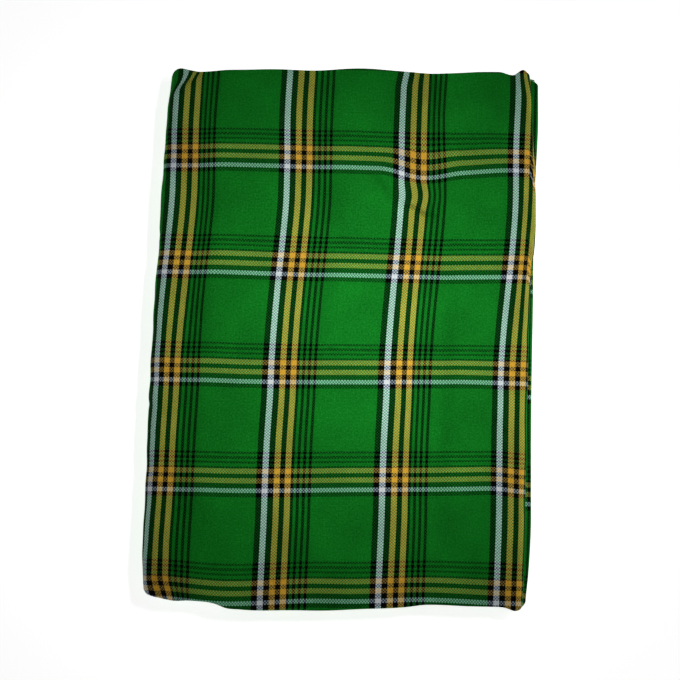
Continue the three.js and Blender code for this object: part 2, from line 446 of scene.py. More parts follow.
@dataclass(frozen=True)
class PatternLie:
    """How the check lies on the bundle: where its lines run, and how they bend.

    Args:
        line_x: place across of a black line's left side, where the lines begin to count.
        line_y: place along of a black line's front side.
        slant: sideways run of the front-to-back lines, by place from front to back.
        rises: how far the left-to-right lines stand behind an even, square check, as a curve
            from left to right for each of some places along the bundle.
        pulls: places where the cloth is pulled aside or tucked under.
    """

    line_x: float = -45.5
    line_y: float = 33.5
    slant: Curve = Curve(
        (
            (-166, -9.1), (-146, -8.7), (-120, -8.2), (-95, -8.2), (-69, -7.9), (-43, -7.1),
            (-17, -6.7), (9, -5.4), (36, -3.5), (62, -1.5), (85, -0.1), (105, 0.0), (136, -0.4),
            (172, 0.4),
        )
    )
    rises: tuple[tuple[float, Curve], ...] = (
        (-173, Curve(((-109, 0.5), (-71, -2.0), (-20, 1.1), (12, 1.6), (56, 3.8), (101, 2.8)))),
        (-103, Curve(((-108, -0.7), (-62, -0.6), (12, 1.9), (78, 4.1), (99, 5.0), (115, 3.6)))),
        (-33, Curve(((-103, -0.2), (-62, -0.6), (12, 0.8), (59, 2.4), (114, 2.8)))),
        (38, Curve(((-106, 0.1), (-62, 0.0), (12, 0.1), (42, 0.4), (78, 0.7), (113, 2.2)))),
        (109, Curve(((-109, 0.8), (-62, 1.4), (12, 1.5), (48, 1.7), (111, 2.7)))),
    )
    pulls: tuple[Drag | Tuck, ...] = ()

    def rise(self, x: np.ndarray, y: np.ndarray) -> np.ndarray:
        """How far the left-to-right lines stand back at the given places."""
        first, curve = self.rises[0]
        level = curve.at(x)
        rise = level
        for place, curve in self.rises[1:]:
            following = curve.at(x)
            rise = rise + (following - level) * (1 - fade(y - first, place - first))
            first, level = place, following
        return rise

    def unroll(self, x: np.ndarray, y: np.ndarray, run: np.ndarray) -> tuple[np.ndarray, ...]:
        """Place in the cloth of places on the bundle.

        Args:
            x, y: settled places, which the rise is read from.
            run: settled places across, unrolled round the turns.

        Returns:
            The place across and the place along, in millimetres of cloth.
        """
        u = run - self.slant.at(y) - self.line_x
        v = y - self.rise(x, y) - self.line_y
        for pull in self.pulls:
            share = pull.share(run, y)
            u = u - pull.across * share
            v = v - pull.along * share
        return u, v


# --------------------------------------------------------------------------- the woven finish


class Graph:
    """Short ways to build a material's nodes."""

    def __init__(self, material: bpy.types.Material) -> None:
        """Starts on a material with no nodes left in it."""
        material.use_nodes = True
        self.tree = material.node_tree
        self.tree.nodes.clear()

    def node(self, kind: str, **settings: object) -> bpy.types.Node:
        """Adds a node of a kind and sets its properties."""
        node = self.tree.nodes.new(kind)
        for name, value in settings.items():
            setattr(node, name, value)
        return node

    def feed(self, socket: bpy.types.NodeSocket, value: object) -> None:
        """Gives an input a link or a constant."""
        if isinstance(value, bpy.types.NodeSocket):
            self.tree.links.new(value, socket)
        else:
            socket.default_value = value

    def math(self, operation: str, *values: object, clamped: bool = False) -> bpy.types.NodeSocket:
        """A Math node's result.

        Args:
            operation: Blender's name of the operation.
            values: links or numbers, one for each input.
            clamped: whether the result is kept from 0 to 1.

        Returns:
            The output socket.
        """
        node = self.node("ShaderNodeMath", operation=operation, use_clamp=clamped)
        for socket, value in zip(node.inputs, values):
            self.feed(socket, value)
        return node.outputs[0]

    def mix(
        self, share: object, first: object, second: object, blend: str = "MIX"
    ) -> bpy.types.NodeSocket:
        """A colour mixed from two, by a share, and kept from 0 to 1."""
        node = self.node("ShaderNodeMix", data_type="RGBA", blend_type=blend, clamp_result=True)
        self.feed(node.inputs[0], share)
        self.feed(node.inputs[6], first)
        self.feed(node.inputs[7], second)
        return node.outputs[2]

    def grey(self, value: bpy.types.NodeSocket) -> bpy.types.NodeSocket:
        """A colour with the same value in each channel."""
        node = self.node("ShaderNodeCombineColor")
        for socket in node.inputs:
            self.feed(socket, value)
        return node.outputs[0]

    def power(self, colour: object, exponent: float) -> bpy.types.NodeSocket:
        """A colour with each channel raised to a power."""
        node = self.node("ShaderNodeGamma")
        self.feed(node.inputs[0], colour)
        self.feed(node.inputs[1], exponent)
        return node.outputs[0]

    def noise(self, vector: object, scale: float, detail: float = 2.0) -> bpy.types.NodeSocket:
        """A noise value about one half."""
        node = self.node("ShaderNodeTexNoise")
        self.feed(node.inputs["Vector"], vector)
        node.inputs["Scale"].default_value = scale
        node.inputs["Detail"].default_value = detail
        return node.outputs["Fac"]


class Yarn(Enum):
    """The dyed yarns of the cloth, as linear colours."""

    GREEN = (0.0042, 0.215, 0.0132, 1.0)
    ORANGE = (0.87, 0.48, 0.04, 1.0)
    WHITE = (0.86, 0.96, 1.0, 1.0)
    BLACK = (0.0004, 0.0008, 0.0006, 1.0)


@dataclass(frozen=True)
class Sett:
    """The order of yarns across one repeat of the check, as pairs of yarn and count."""

    order: tuple[tuple[Yarn, int], ...]

    @property
    def yarns(self) -> int:
        """How many yarns one repeat has."""
        return sum(count for _, count in self.order)


LENGTH_SETT = Sett(
    (
        (Yarn.BLACK, 8), (Yarn.WHITE, 8), (Yarn.BLACK, 8), (Yarn.ORANGE, 8), (Yarn.BLACK, 7),
        (Yarn.ORANGE, 8), (Yarn.BLACK, 4), (Yarn.GREEN, 4), (Yarn.BLACK, 4), (Yarn.GREEN, 4),
        (Yarn.BLACK, 4), (Yarn.GREEN, 4), (Yarn.BLACK, 4), (Yarn.GREEN, 85),
    )
)
CROSS_SETT = Sett(
    (
        (Yarn.BLACK, 6), (Yarn.WHITE, 6), (Yarn.BLACK, 7), (Yarn.ORANGE, 7), (Yarn.BLACK, 6),
        (Yarn.ORANGE, 7), (Yarn.BLACK, 3), (Yarn.GREEN, 4), (Yarn.BLACK, 3), (Yarn.GREEN, 3),
        (Yarn.BLACK, 4), (Yarn.GREEN, 3), (Yarn.BLACK, 3), (Yarn.GREEN, 88),
    )
)


@dataclass(frozen=True)
class CheckWeave:
    """The cloth's finish: a matt weave, two yarns over two, in a check.

    Args:
        pitch: distance between yarns, in metres.
        repeat: yarns in one repeat of the weave.
        cover: share of the face that the length yarns cover.
        relief: how strongly the floats swing that share.
        crest_shade: how much lighter the tops of the floats are painted than the gaps, as painted
            shade.
        gamma: exponent in which neighbouring yarns blend, as the eye sees them.
        haze: what the fuzz adds where light and dark yarns cross.
        fuzz: strength of the uneven shade along single yarns.
        dye_and_shade_mottle: strength of soft, lighter and darker patches of dye and painted shade.
        mottle_size: size of those patches, in metres.
        lint: strength of the pale, fine lint all over.
        lint_size: size of its specks, in metres.
        lint_level: level of the noise under which there is no lint.
        depth: height of the floats in the bump, in metres.
        bump: strength of the bump.
        dome_lead: how much a yarn's round top adds to its share of the face.
        streak: how slowly the shade changes along a yarn, against across it.
        streak_scale: how quickly it changes from yarn to yarn.
        streak_shares: share of the length and of the cross yarns in it.
        ramp_side: place within a yarn at which its colour is read from the ramp.
        roughness, specular, sheen, sheen_roughness, sheen_tint: how the surface takes light.
    """

    pitch: float = 0.00047
    repeat: float = 4.0
    cover: float = 0.63
    relief: float = 0.42
    bump: float = 0.55
    dome_lead: float = 0.15
    streak: float = 0.05
    streak_scale: float = 0.7
    streak_shares: tuple[float, float] = (0.6, 0.4)
    ramp_side: float = 0.9
    lint_level: float = 0.43
    crest_shade: float = 0.24
    gamma: float = 2.2
    haze: tuple[float, float, float, float] = (0.0, 0.03, 0.07, 1.0)
    fuzz: float = 0.16
    dye_and_shade_mottle: float = 0.34
    mottle_size: float = 0.034
    lint: float = 0.20
    lint_size: float = 0.0011
    depth: float = 0.00009
    roughness: float = 0.85
    specular: float = 0.04
    sheen: float = 0.03
    sheen_roughness: float = 0.5
    sheen_tint: tuple[float, float, float, float] = (0.25, 0.7, 0.3, 1.0)

    def stripes(self, graph: Graph, yarn: bpy.types.NodeSocket, sett: Sett) -> bpy.types.NodeSocket:
        """Colour of each yarn of one direction, read from its number.

        Args:
            graph: the material's nodes.
            yarn: the yarn's whole number.
            sett: the order of the yarns in one repeat.

        Returns:
            The colour.
        """
        # A ramp is read in 255 steps from below, so each yarn is read near its far side.
        place = graph.math("DIVIDE", graph.math("ADD", yarn, self.ramp_side), float(sett.yarns))
        ramp = graph.node("ShaderNodeValToRGB")
        ramp.color_ramp.interpolation = "CONSTANT"
        stops = ramp.color_ramp.elements
        while len(stops) > 1:
            stops.remove(stops[-1])
        start = 0
        for number, (dye, count) in enumerate(sett.order):
            stop = stops[0] if number == 0 else stops.new(start / sett.yarns)
            stop.position = start / sett.yarns
            stop.color = dye.value
            start += count
        graph.feed(ramp.inputs[0], graph.math("FRACT", place))
        return ramp.outputs[0]

    def swing(self, graph: Graph, run: bpy.types.NodeSocket) -> bpy.types.NodeSocket:
        """Rise and fall of the weave in one direction, from minus one to one."""
        step = graph.math("SUBTRACT", run, self.repeat / 4)
        return graph.math("COSINE", graph.math("MULTIPLY", step, 2 * math.pi / self.repeat))

    def dome(self, graph: Graph, part: bpy.types.NodeSocket) -> bpy.types.NodeSocket:
        """Round height across one yarn, zero at its sides and one in its middle."""
        centred = graph.math("SUBTRACT", graph.math("MULTIPLY", part, 2.0), 1.0)
        return graph.math("SUBTRACT", 1.0, graph.math("MULTIPLY", centred, centred))

    def build(self, name: str) -> bpy.types.Material:
        """Makes the material.

        Args:
            name: the material's name.

        Returns:
            The material, which reads the piece's own map of the cloth.
        """
        material = bpy.data.materials.new(name)
        graph = Graph(material)
        place = graph.node("ShaderNodeUVMap", uv_map=UV_NAME)
        split = graph.node("ShaderNodeSeparateXYZ")
        graph.feed(split.inputs[0], place.outputs[0])
        across = graph.math("DIVIDE", split.outputs[0], self.pitch)
        along = graph.math("DIVIDE", split.outputs[1], self.pitch)
        end, pick = graph.math("FLOOR", across), graph.math("FLOOR", along)
        end_part, pick_part = graph.math("FRACT", across), graph.math("FRACT", along)

        over = graph.math("MULTIPLY", self.swing(graph, across), self.swing(graph, along))
        under = graph.math("MULTIPLY", over, -1.0)
        length_dome, cross_dome = self.dome(graph, end_part), self.dome(graph, pick_part)
        domes = graph.math("SUBTRACT", length_dome, cross_dome)
        lead = graph.math("ADD", over, graph.math("MULTIPLY", domes, self.dome_lead))
        swung = graph.math("MULTIPLY", lead, self.relief)
        share = graph.math("ADD", swung, self.cover, clamped=True)

        ends = graph.power(self.stripes(graph, end, LENGTH_SETT), 1 / self.gamma)
        picks = graph.power(self.stripes(graph, pick, CROSS_SETT), 1 / self.gamma)
        crossing = graph.mix(1.0, ends, picks, "DIFFERENCE")
        channels = graph.node("ShaderNodeSeparateColor")
        graph.feed(channels.inputs[0], crossing)
        weave = graph.mix(channels.outputs[0], graph.mix(share, picks, ends), self.haze, "ADD")

        # Yarns are lighter and darker along their run, and in soft random patches of dye and painted
        # shade.
        length_yarn = graph.node("ShaderNodeCombineXYZ")
        graph.feed(length_yarn.inputs[0], end)
        graph.feed(length_yarn.inputs[1], graph.math("MULTIPLY", along, self.streak))
        cross_yarn = graph.node("ShaderNodeCombineXYZ")
        graph.feed(cross_yarn.inputs[0], graph.math("MULTIPLY", across, self.streak))
        graph.feed(cross_yarn.inputs[1], pick)
        streaks = graph.math(
            "ADD",
            *(
                graph.math("MULTIPLY", graph.noise(yarn.outputs[0], self.streak_scale), part)
                for yarn, part in zip((length_yarn, cross_yarn), self.streak_shares)
            ),
        )
        # Soft random patches, partly the dye's own and partly painted shade.
        dye_and_shade_mottle = graph.noise(place.outputs[0], 1 / self.mottle_size, 4.0)
        tone = graph.math(
            "ADD",
            graph.math("MULTIPLY", graph.math("SUBTRACT", streaks, 0.5), self.fuzz * 2),
            graph.math("MULTIPLY", graph.math("SUBTRACT", dye_and_shade_mottle, 0.5), self.dye_and_shade_mottle),
        )
        # Painted shade: the gaps between the floats are painted darker than the floats' tops.
        crest = graph.math(
            "MAXIMUM",
            graph.math("MULTIPLY", graph.math("ADD", over, length_dome), 0.5),
            graph.math("MULTIPLY", graph.math("ADD", under, cross_dome), 0.5),
        )
        level = graph.math("ADD", tone, 1 - self.crest_shade / 2)
        shade = graph.math("ADD", graph.math("MULTIPLY", crest, self.crest_shade), level)
        toned = graph.mix(1.0, weave, graph.grey(shade), "MULTIPLY")
        fluff = graph.noise(place.outputs[0], 1 / self.lint_size, 1.0)
        specks = graph.math("SUBTRACT", fluff, self.lint_level)
        linty = graph.mix(self.lint, toned, graph.grey(specks), "ADD")
        colour = graph.power(linty, self.gamma)

        bump = graph.node("ShaderNodeBump")
        bump.inputs["Strength"].default_value = self.bump
        bump.inputs["Distance"].default_value = self.depth
        graph.feed(bump.inputs["Height"], crest)

        surface = graph.node("ShaderNodeBsdfPrincipled")
        graph.feed(surface.inputs["Base Color"], colour)
        surface.inputs["Roughness"].default_value = self.roughness
        surface.inputs["Specular IOR Level"].default_value = self.specular
        surface.inputs["Sheen Weight"].default_value = self.sheen
        surface.inputs["Sheen Roughness"].default_value = self.sheen_roughness
        surface.inputs["Sheen Tint"].default_value = self.sheen_tint
        graph.feed(surface.inputs["Normal"], bump.outputs[0])
        output = graph.node("ShaderNodeOutputMaterial")
        graph.feed(output.inputs[0], surface.outputs[0])
        return material


# --------------------------------------------------------------------------- walls of cloth


class End(Enum):
    """How the four plies of a panel end at its front or its back."""

    FOLD = "one round fold"
    EDGES = "a fold of two plies over two woven edges"


@dataclass(frozen=True)
class Turn:
    """A half turn of the strip at a side of the bundle.

    Args:
        x, z: its centre.
        radius: radius of the strip's middle line.
        side: 1 at the right side, -1 at the left one.
        begin: 1 where it begins at its top, -1 where it begins at its bottom.
        facing: 1 where the outer face looks away from the centre, -1 where it looks at it.
        half: half of the wall's thickness.
        fullness: 2 for a round turn, and more for one that fills its corners.
    """

    x: float
    z: float
    radius: float
    side: int
    begin: int
    facing: int = 1
    half: float = 1.5
    fullness: float = 2.0

    def points(self, cells: int) -> tuple[np.ndarray, ...]:
        """Even steps along the outer face of the turn.

        Args:
            cells: number of steps.

        Returns:
            Share of the turn, sideways and upward place from the centre, the outward normal's
            two parts, and the length of the outer face to each point.
        """
        share = np.linspace(0, 1, 801)
        sine, cosine = np.sin(math.pi * share), np.cos(math.pi * share)
        out = self.radius * np.abs(sine) ** (2 / self.fullness)
        up = self.radius * np.sign(cosine) * np.abs(cosine) ** (2 / self.fullness)
        normal_out = np.abs(out) ** (self.fullness - 1)
        normal_up = np.sign(up) * np.abs(up) ** (self.fullness - 1)
        size = np.hypot(normal_out, normal_up)
        normal_out, normal_up = normal_out / size, normal_up / size
        reach = self.facing * self.half
        steps = np.hypot(np.diff(out + reach * normal_out), np.diff(up + reach * normal_up))
        length = np.concatenate([[0.0], np.cumsum(steps)])
        even = np.linspace(0, length[-1], cells + 1)
        picked = [np.interp(even, length, row) for row in (share, out, up, normal_out, normal_up)]
        return (*picked, even)

    def length(self) -> float:
        """Length of the outer face of the whole turn."""
        return float(self.points(1)[-1][-1])


@dataclass
class Line:
    """The middle line of a stretch of the strip, in the square bundle.

    Each point has its outward normal, its place in the unrolled outer face, the two panels
    whose folded ends it goes between, and how far on the way it is.
    """

    x: list[float] = field(default_factory=list)
    z: list[float] = field(default_factory=list)
    nx: list[float] = field(default_factory=list)
    nz: list[float] = field(default_factory=list)
    run: list[float] = field(default_factory=list)
    panel: list[int] = field(default_factory=list)
    following: list[int] = field(default_factory=list)
    share: list[float] = field(default_factory=list)

    def add(self, *values: float) -> None:
        """Adds one point, by its values in the order of the lists."""
        lists = (self.x, self.z, self.nx, self.nz, self.run, self.panel, self.following, self.share)
        for column, value in zip(lists, values):
            column.append(value)

    def straight(
        self, start: float, stop: float, cells: int, z: float, nz: float, panel: int, run: float
    ) -> float:
        """Adds a level stretch, without its last point.

        Args:
            start, stop: where it begins and ends, across the bundle.
            cells: number of steps.
            z: height of the middle line.
            nz: 1 where the outer face looks up, -1 where it looks down.
            panel: the panel that it is.
            run: unrolled place of its first point.

        Returns:
            The unrolled place of its end.
        """
        way = stop - start
        for step in range(cells):
            share = step / cells
            place, passed = start + way * share, run + abs(way) * share
            self.add(place, z, 0.0, nz, passed, panel, panel, 0.0)
        return run + abs(way)

    def turn(self, turn: "Turn", cells: int, panels: tuple[int, int], run: float) -> float:
        """Adds a half turn, without its last point.

        Args:
            turn: where and how it turns.
            cells: number of steps.
            panels: the panels before and after the turn.
            run: unrolled place of its first point.

        Returns:
            The unrolled place of its end.
        """
        rows = list(zip(*turn.points(cells)))
        for share, out, up, normal_out, normal_up, length in rows[:-1]:
            x, z = turn.x + turn.side * out, turn.z + turn.begin * up
            nx, nz = turn.facing * turn.side * normal_out, turn.facing * turn.begin * normal_up
            self.add(x, z, nx, nz, run + length, *panels, share)
        return run + rows[-1][-1]

    def finish(self, x: float, z: float, nz: float, panel: int, run: float) -> None:
        """Adds the last point."""
        self.add(x, z, 0.0, nz, run, panel, panel, 0.0)


@dataclass(frozen=True)
class Trim:
    """How a piece's own edges stand off those of the settled bundle, outward in millimetres.

    Args:
        right: at the right side, by place along.
        front, back: at the two ends, by settled place across.
        side_reach, end_reach: how far in from the edge this fades away.
    """

    right: Curve
    front: Curve
    back: Curve
    side_reach: float = 34.0
    end_reach: float = 30.0

    def move(
        self, bundle: Bundle, x: np.ndarray, y: np.ndarray, settled_x: np.ndarray, settled_y: np.ndarray
    ) -> tuple[np.ndarray, np.ndarray]:
        """How far places of the piece move.

        Args:
            bundle: the bundle that the piece is part of.
            x, y: places in the square bundle.
            settled_x, settled_y: the same places in the settled one.

        Returns:
            The move across and the move along.
        """
        across = fade(bundle.right - x, self.side_reach) * self.right.at(settled_y)
        ahead = fade(y + bundle.half_depth, self.end_reach) * self.front.at(settled_x + across)
        behind = fade(bundle.half_depth - y, self.end_reach) * self.back.at(settled_x + across)
        return across, behind - ahead


@dataclass
class Wall:
    """A closed wall of cloth, swept along a line, with its panels' folded ends modelled.

    Args:
        name: the piece's name.
        bundle: the bundle that it is part of.
        lie: how the check lies on it.
        relief: the unevenness of its outer face, or none.
        half: half of its thickness.
        cell: size of the grid's cells along the depth of the outer face.
        end_cells: cells round a folded end.
        middle: whether the outer face between the ends shows, and gets the fine grid.
        trim: how its edges stand off those of the bundle, or none.
        past_from, past_full: places across where the stand past the right side begins and ends.
        ply: thickness of one ply.
        edge_steps: how far the two woven edges stand in from the fold over them.
        edge_round: place in its ply, and extra depth, of the steps round a woven edge.
        ragged: how uneven the woven edges are.
        hem_round: how much thinner the strip's two ends are, on each face.
        near_ends: places along, from a folded end, where a plain outer face is sectioned.
        inner_cells: cells along the inner face.
        end_ripple: height of the small ripples of the folded ends.
        left_hold, right_hold: how far the relief goes down the left and the right turns.
        smooth_angle: sharpest angle between faces that is shaded smooth, in degrees.
    """

    name: str
    bundle: Bundle
    lie: PatternLie
    relief: Relief | None = None
    half: float = 1.5
    cell: float = 1.25
    end_cells: int = 10
    middle: bool = True
    slip: tuple[float, float] = (0.0, 0.0)
    trim: Trim | None = None
    past_from: float = math.inf
    past_full: float = math.inf
    ply: float = 0.75
    edge_steps: tuple[float, float] = (1.3, 0.6)
    edge_round: tuple[tuple[float, float], ...] = ((0.22, 0.1), (0.5, 0.0), (0.78, 0.1))
    left_hold: float = 0.9
    right_hold: float = 0.3
    smooth_angle: float = 50.0
    ragged: float = 0.35
    hem_round: float = 0.5
    near_ends: tuple[float, ...] = (0.0, 1.2, 3.0, 7.0, 16.0, 34.0, 70.0, 120.0)
    inner_cells: int = 12
    end_ripple: float = 0.2

    def end_profile(self, end: End, x: np.ndarray, seed: int) -> tuple[np.ndarray, ...]:
        """Outline of a panel's end, from its outer face to its inner one.

        Args:
            end: how the plies end.
            x: places across the bundle, one for each point of the line.
            seed: makes each piece's raggedness its own.

        Returns:
            Depth in from the end and place in the thickness, both by point and step, and the
            length of cloth from the outer face to each step.
        """
        half, ply = self.half, self.ply
        if end is End.FOLD:
            turned = np.linspace(0, math.pi, self.end_cells + 1)
            inward = half * (1 - np.sin(turned))
            through = half * np.cos(turned)
            inward = np.repeat(inward[None, :], len(x), axis=0)
        else:
            turned = np.linspace(0, math.pi, self.end_cells // 2 + 1)
            fold = ply * (1 - np.sin(turned))
            fold_through = ply + ply * np.cos(turned)
            columns = [np.full(len(x), value) for value in fold]
            through = list(fold_through)
            for step, phase, top in zip(self.edge_steps, (0.5, 2.9), (0.0, -ply)):
                wave = np.sin(x / 9.0 + phase + seed) + np.sin(x / 23.0 + 2.3 * phase)
                depth = np.clip(step + self.ragged * wave, 0.1, None)
                for share, extra in ((0.04, ply), *self.edge_round):
                    columns.append(depth + extra)
                    through.append(top - share * ply)
            columns.append(depth + half * 0.7)
            through.append(-half)
            inward = np.stack(columns, axis=1)
        through = np.repeat(np.array(through)[None, :], len(x), axis=0)
        steps = np.hypot(np.diff(inward, axis=1), np.diff(through, axis=1))
        length = np.concatenate([np.zeros((len(x), 1)), np.cumsum(steps, axis=1)], axis=1)
        return inward, through, length

    def stations(self) -> np.ndarray:
        """Shares of the depth between the folded ends where the outer face is sectioned."""
        depth = 2 * self.bundle.half_depth
        if self.middle:
            return np.linspace(0, 1, round(depth / self.cell) + 1)
        near = np.array(self.near_ends) / depth
        return np.concatenate([near, 1 - near[::-1]])

    def inset(self, line: Line, side: str) -> np.ndarray:
        """How far the folded ends stand in from the square bundle's end, along the line."""
        x = np.array(line.x)
        both = []
        for numbers in (line.panel, line.following):
            numbers = np.array(numbers)
            row = np.zeros(len(x))
            for number in np.unique(numbers):
                ripple = np.sin(x / 7.3 + 1.7 * number) + 0.8 * np.sin(x / 12.9 + 4.1 * number)
                edge = self.bundle.inset(int(number), side, x) + self.end_ripple * (1 + ripple)
                row = np.where(numbers == number, edge, row)
            both.append(row)
        share = np.array(line.share)
        return both[0] * (1 - share) + both[1] * share

    def rings(self, line: Line) -> tuple[np.ndarray, ...]:
        """Sections of the wall at each point of the line, in the square bundle.

        Each section goes from the middle of the inner face round the front end, over the outer
        face, and round the back end to where it began, which it repeats.

        Args:
            line: the middle line.

        Returns:
            Place along the bundle, place in the thickness, and length of cloth past the ends
            of the outer face, all by point and step.
        """
        x = np.array(line.x)
        depth = self.bundle.half_depth
        front_in, front_t, front_length = self.end_profile(End.FOLD, x, 1)
        back_in, back_t, back_length = self.end_profile(End.EDGES, x, 2)
        front = self.inset(line, "front")[:, None] - depth + front_in
        back = depth - self.inset(line, "back")[:, None] - back_in
        share = self.stations()[None, :]
        outer = front[:, :1] * (1 - share) + back[:, :1] * share
        middle = (front[:, -1:] + back[:, -1:]) / 2
        inner_share = np.linspace(0, 1, self.inner_cells // 2 + 1)[None, :]
        inner_front = middle * (1 - inner_share) + front[:, -1:] * inner_share
        inner_back = back[:, -1:] * (1 - inner_share) + middle * inner_share
        inner_t = np.full(inner_front.shape, -self.half)
        outer_t = np.full(outer.shape, self.half)
        ahead = -front_length[:, -1:] - (inner_front - front[:, -1:])
        behind = back_length[:, -1:] + (back[:, -1:] - inner_back)
        parts = (
            (inner_front, front, outer, back, inner_back),
            (inner_t, front_t, outer_t, back_t, inner_t),
            (ahead, -front_length, np.zeros(outer.shape), back_length, behind),
        )
        rings = []
        for first, ahead_end, face, behind_end, last in parts:
            row = (first[:, :-1], ahead_end[:, :0:-1], face, behind_end[:, 1:], last[:, 1:])
            rings.append(np.concatenate(row, axis=1))
        return tuple(rings)

    def build(self, line: Line) -> bpy.types.Object:
        """Makes the wall's mesh, with the map of the cloth on it.

        Args:
            line: the middle line.

        Returns:
            The new object, at the origin.
        """
        bundle = self.bundle
        y, through, past = self.rings(line)
        points, steps = y.shape[0], y.shape[1] - 1

        def column(values: list[float]) -> np.ndarray:
            """The line's values, repeated over the steps of each section."""
            return np.repeat(np.array(values, dtype=float)[:, None], steps + 1, axis=1)

        nx, nz, run = column(line.nx), column(line.nz), column(line.run)
        thin = np.ones((points, 1))
        thin[0] = thin[-1] = 1 - self.hem_round / self.half
        through = through * thin
        x = column(line.x) + through * nx
        within = np.clip(run, bundle.left_centre, bundle.right_centre)
        settled_run = bundle.across(within, y) + run - within
        if math.isfinite(self.past_from):
            span = self.past_full - self.past_from
            reach = np.clip((column(line.x) - self.past_from) / span, 0, 1)
            x = x + reach * bundle.past_edge.at(y)
            settled_run = settled_run + (reach - 1) * bundle.past_edge.at(y)
        z = column(line.z) + through * nz
        settled_x, settled_y, settled_z = bundle.settle(x, y, z)
        if self.trim is not None:
            across, along = self.trim.move(bundle, x, y, settled_x, settled_y)
            settled_x, settled_y = settled_x + across, settled_y + along
            settled_run = settled_run + across
        if self.relief is not None:
            share = (through + self.half) / (2 * self.half)
            mask = 1 - fade(nz + np.where(nx < 0, self.left_hold, self.right_hold), 1.0)
            lift = self.relief.at(settled_run, settled_y) * share * mask
            settled_x, settled_z = settled_x + lift * nx, settled_z + lift * nz
        u, v = self.lie.unroll(settled_x, settled_y, settled_run)
        outer = np.flatnonzero(past[0] == 0)
        v = np.where(past < 0, v[:, outer[:1]] + past, np.where(past > 0, v[:, outer[-1:]] + past, v))
        u, v = u - self.slip[0], v - self.slip[1]

        vertices = np.stack([settled_x, settled_y, settled_z], axis=-1)[:, :-1].reshape(-1, 3) * MM
        i, r = np.meshgrid(np.arange(points - 1), np.arange(steps), indexing="ij")
        corners = [(i + di, r + dr) for di, dr in ((0, 0), (1, 0), (1, 1), (0, 1))]
        quads = np.stack([a * steps + b % steps for a, b in corners], axis=-1).reshape(-1, 4)
        mapped = [np.stack([u[corner], v[corner]], axis=-1) for corner in corners]
        maps = np.stack(mapped, axis=2).reshape(-1, 2)
        caps, cap_maps = [], []
        for number, order in ((0, np.arange(steps)), (points - 1, np.arange(steps)[::-1])):
            caps.append((number * steps + order).tolist())
            away = (self.half - through[number, order]) * (-1 if number == 0 else 1)
            cap_maps.append(np.stack([u[number, order] + away, settled_y[number, order]], axis=-1))
        mesh = bpy.data.meshes.new(self.name)
        mesh.from_pydata(vertices.tolist(), [], quads.tolist() + caps)
        layer = mesh.uv_layers.new(name=UV_NAME)
        layer.data.foreach_set("uv", (np.concatenate([maps, *cap_maps]) * MM).ravel())
        mesh.update()
        mesh.validate()
        piece = bpy.data.objects.new(self.name, mesh)
        bpy.context.scene.collection.objects.link(piece)
        bpy.ops.object.select_all(action="DESELECT")
        piece.select_set(True)
        bpy.context.view_layer.objects.active = piece
        bpy.ops.object.shade_smooth_by_angle(angle=math.radians(self.smooth_angle))
        return piece


# --------------------------------------------------------------------------- the pieces


